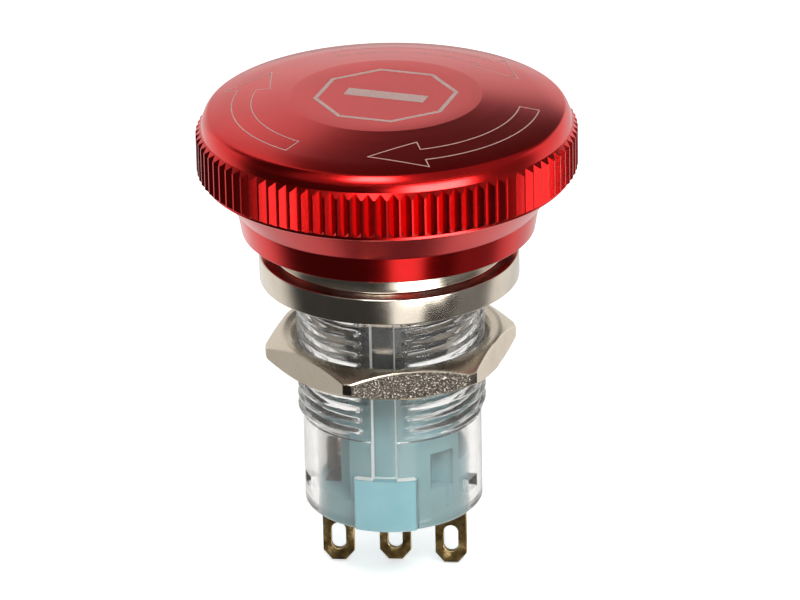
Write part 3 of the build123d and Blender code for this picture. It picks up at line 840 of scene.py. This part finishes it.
def make_floor():
    half, gap = 3.0, 0.0002
    level = PIN_TIP_Z * MM - gap
    corners = [(-half, -half, level), (half, -half, level), (half, half, level), (-half, half, level)]
    mesh = bpy.data.meshes.new("floor")
    mesh.from_pydata(corners, [], [(0, 1, 2, 3)])
    floor = bpy.data.objects.new("floor", mesh)
    bpy.context.scene.collection.objects.link(floor)
    n = Nodes("floor_paper")
    grain = n.noise(n.object_space, 40.0, 3.0)
    mesh.materials.append(n.finish(
        Base_Color=n.ramp(grain, (0.3, (0.93, 0.93, 0.93)), (0.7, (0.96, 0.96, 0.96))), Roughness=0.9,
        Specular_IOR_Level=0.1, Emission_Strength=0.45))
    floor.visible_glossy = False


def make_lamp(name, azimuth_deg, elevation_deg, distance, size, watts):
    data = bpy.data.lights.new(name, "AREA")
    data.shape = "DISK"
    data.size = size
    data.energy = watts
    lamp = bpy.data.objects.new(name, data)
    bpy.context.scene.collection.objects.link(lamp)
    toward = direction(azimuth_deg, elevation_deg)
    lamp.location = toward * distance
    lamp.rotation_euler = toward.to_track_quat("Z", "Y").to_euler()
    lamp.visible_glossy = False


# Brightness of the plain white surroundings, and of the studio where it has no panel
SURROUNDINGS, STUDIO_BASE = 0.72, 0.3

# Studio as seen by reflections: (azimuth from the camera, half width, softness,
# lowest and highest elevation, softness, brightness, rise of its upper edge per degree of azimuth)
STUDIO = (
    (180, 84, 16, -80, 24, 8, 1.0, 0.0),       # bright room sides and back, low
    (-130, 60, 40, -100, -38, 20, 0.7, 0.0),   # table to the left
    (118, 56, 40, -100, -38, 20, 0.16, 0.0),   # table in shade to the right
    (180, 70, 20, 20, 75, 10, 0.08, 0.0),      # dark above the back
    (180, 60, 14, -40, 28.0, 5, 0.82, -1.05),  # panel behind, its upper edge slanting
    (-50, 50, 34, -80, 12, 10, 0.05, 0.0),     # dark front left
    (-82, 20, 16, 12, 60, 14, 0.04, 0.0),      # dark left, higher
    (62, 36, 22, -80, 14, 10, 0.22, 0.0),      # grey front right
    (42, 16, 12, -80, 14, 10, 0.06, 0.0),      # dark beside the strip
    (15, 14, 8, -60, 4, 4, 1.4, 0.0),          # tall strip light
    (0, 180, 2, -100, -72, 10, 0.17, 0.0),     # table in shade underneath
    (30, 18, 14, -14, 8, 8, 15.0, 0.0),        # lamp beside the strip
    (-11, 14, 12, 32, 64, 14, 15.0, 0.0),      # lamp overhead in front
)


def make_world():
    """White surroundings, and for reflections a studio of soft-edged panels."""
    world = bpy.data.worlds.new("studio")
    bpy.context.scene.world = world
    world.use_nodes = True
    n = Tree(world.node_tree)
    n.tree.nodes.clear()
    x, y, z = n.split(n.add("ShaderNodeTexCoord").outputs["Generated"])
    azimuth = n.maths("SUBTRACT", n.maths("ARCTAN2", x, n.maths("MULTIPLY", y, -1)), CAMERA_AZ)
    azimuth = n.maths("MULTIPLY", azimuth, 180 / math.pi)
    elevation = n.maths("MULTIPLY", n.maths("ARCSINE", z), 180 / math.pi)
    brightness = STUDIO_BASE
    for centre, half, soft, low, high, soft_el, value, slant in STUDIO:
        turn = n.maths("WRAP", n.maths("SUBTRACT", azimuth, centre), 180.0, -180.0)
        height = n.maths("SUBTRACT", elevation, (low + high) / 2)
        height = n.maths("ADD", height, n.maths("MULTIPLY", turn, slant))
        across, upright = n.within(turn, half, soft), n.within(height, (high - low) / 2, soft_el)
        mask = n.maths("MULTIPLY", across, upright)
        change = n.maths("MULTIPLY", n.maths("SUBTRACT", value, brightness), mask)
        brightness = n.maths("ADD", brightness, change)
    studio, plain = n.add("ShaderNodeBackground"), n.add("ShaderNodeBackground")
    studio.inputs["Color"].default_value = (1.0, 0.985, 0.96, 1.0)
    n.join(brightness, studio.inputs["Strength"])
    plain.inputs["Color"].default_value = (1.0, 1.0, 1.0, 1.0)
    plain.inputs["Strength"].default_value = SURROUNDINGS
    choose, out = n.add("ShaderNodeMixShader"), n.add("ShaderNodeOutputWorld")
    n.join(n.add("ShaderNodeLightPath").outputs["Is Glossy Ray"], choose.inputs[0])
    n.join(plain.outputs[0], choose.inputs[1])
    n.join(studio.outputs[0], choose.inputs[2])
    n.join(choose.outputs[0], out.inputs["Surface"])


def make_camera():
    data = bpy.data.cameras.new("camera")
    data.lens = CAMERA_LENS
    data.clip_start, data.clip_end = 0.01, 20.0
    camera = bpy.data.objects.new("camera", data)
    bpy.context.scene.collection.objects.link(camera)
    toward = direction(0, math.degrees(CAMERA_EL))
    camera.location = toward * CAMERA_DISTANCE
    right = Vector((math.cos(CAMERA_AZ), math.sin(CAMERA_AZ), 0))
    upward = toward.cross(right).normalized()
    aim = right * AIM_RIGHT - upward * AIM_DOWN
    look = (camera.location - aim).normalized()
    side = upward.cross(look).normalized()
    turn = Matrix((side, look.cross(side), look)).transposed()
    camera.rotation_euler = (turn @ Matrix.Rotation(-CAMERA_ROLL, 3, "Z")).to_euler()
    bpy.context.scene.camera = camera


def make_stage():
    make_world()
    make_camera()
    make_floor()
    make_lamp("key", azimuth_deg=10, elevation_deg=50, distance=0.5, size=0.2, watts=1.3)
    bpy.context.scene.view_settings.view_transform = "Standard"


# ---------------------------------------------------------------- assembly
def finish_piece(piece, material, body):
    """Gives a piece its material, unless it has its own and its body."""
    if material:
        piece.data.materials.append(material)
    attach(piece, body)


def main():
    materials = make_materials()
    dress_frame(materials)
    finish_piece(make_head(), materials["red_anodised"], "head")
    finish_piece(make_etching(), materials["etched"], "head")
    finish_piece(make_barrel(materials), None, "housing")
    finish_piece(make_bezel(), materials["nickel_plate"], "housing")
    finish_piece(make_nut(materials), None, "nut")
    springs = (
        ("head_return_spring", "return_spring", RETURN_COIL),
        ("blade_spring", "contact_spring", BLADE_COIL))
    for name, node, coil in springs:
        spring = make_coil(name, node, **coil)
        finish_piece(spring, materials["spring_steel"], "housing")
        squash_spring(spring, node)
    make_stage()


main()
